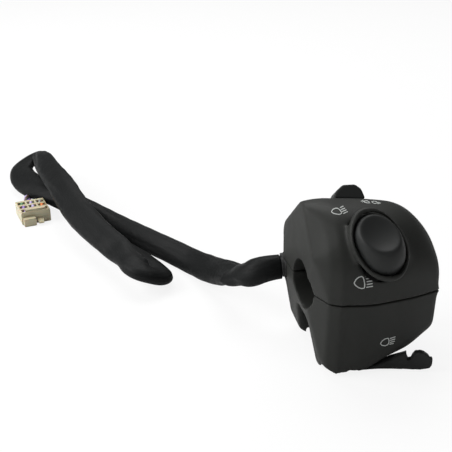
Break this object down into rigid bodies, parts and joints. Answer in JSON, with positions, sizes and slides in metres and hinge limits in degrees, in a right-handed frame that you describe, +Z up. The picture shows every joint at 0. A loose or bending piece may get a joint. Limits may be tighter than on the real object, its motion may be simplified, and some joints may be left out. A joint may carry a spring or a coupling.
{
  "type": "handlebar switch cluster",
  "caption": "Moulded handlebar switch cluster for the left grip with a dished dimmer rocker, a lighting slider, a passing trigger and a sleeved harness with its plug.",
  "frame": {"origin": "on the handlebar's axis, level with the middle of the clamped bore's length less 1 mm, where the casing's two halves meet", "axes": "+X along the bar to the grip, -Y to the rider, +Z up"},
  "size_m": [0.179, 0.2795, 0.0755],
  "materials": {
    "casing_plastic": "fine moulded grain",
    "knob_plastic": "satin",
    "inner_plastic": "plain moulded",
    "steel": "zinc plated",
    "brass": "plain",
    "rubber": "matt",
    "sleeve_pvc": "soft sheen",
    "wire_pvc": "soft sheen",
    "nylon": "waxy"
  },
  "bodies": {
    "casing": {"upper_housing": "casing_plastic", "lower_housing": "casing_plastic", "housing_screws": "steel", "screw_washers": "steel", "screw_inserts": "brass", "rocker_pin": "steel", "rocker_base": "inner_plastic", "rocker_terminals": "brass", "slider_base": "inner_plastic", "slider_terminals": "brass", "trigger_pivot_screw": "steel", "trigger_spring": "steel", "pass_switch_body": "inner_plastic", "pass_switch_spring": "steel", "pass_switch_terminals": "brass", "cable_clamp": "steel", "clamp_screw": "steel", "exit_grommet": "rubber", "inner_loom": "sleeve_pvc", "inner_wires": "wire_pvc", "harness_sleeve": "sleeve_pvc", "lead_wires": "wire_pvc", "connector_housing": "nylon", "connector_terminals": "brass", "connector_lock": "nylon"},
    "rocker": {"dimmer_rocker": "knob_plastic", "rocker_plunger": "steel", "rocker_spring": "steel"},
    "see_saw": {"rocker_see_saw": "brass"},
    "slider": {"light_slider": "knob_plastic", "slider_carriage": "inner_plastic", "slider_contact": "brass", "slider_detent_ball": "steel", "slider_detent_spring": "steel"},
    "trigger": {"pass_trigger": "knob_plastic"},
    "push_pin": {"pass_switch_plunger": "inner_plastic"}
  },
  "joints": [
    {"name": "dimmer_rock", "type": "hinge", "parent": "casing", "child": "rocker", "pos_m": [-0.00131, -0.01688, 0.02293], "axis": [0.937, 0.2627, 0.2304], "range_deg": [0, 18]},
    {"name": "see_saw_rock", "type": "hinge", "parent": "casing", "child": "see_saw", "pos_m": [-0.00194, -0.0097, 0.01729], "axis": [0.937, 0.2627, 0.2304], "range_deg": [-16.5, 0]},
    {"name": "light_slide", "type": "slide", "parent": "casing", "child": "slider", "axis": [0.9925, -0.0792, -0.0926], "range_m": [0, 0.007]},
    {"name": "pass_pull", "type": "hinge", "parent": "casing", "child": "trigger", "pos_m": [-0.008, -0.012, -0.034], "axis": [0, 0, 1], "range_deg": [0, 8], "stiffness_Nm_per_rad": 0.25, "springref_deg": -9.74},
    {"name": "push_pin_slide", "type": "slide", "parent": "casing", "child": "push_pin", "axis": [0, 1, 0], "range_m": [0, 0.0013], "deforming": ["pass_switch_spring"]}
  ],
  "couplings": [
    {"joint": "see_saw_rock", "follows": "dimmer_rock", "ratio": -0.8889},
    {"joint": "push_pin_slide", "follows": "pass_pull", "m_per_rad": 0.007}
  ]
}
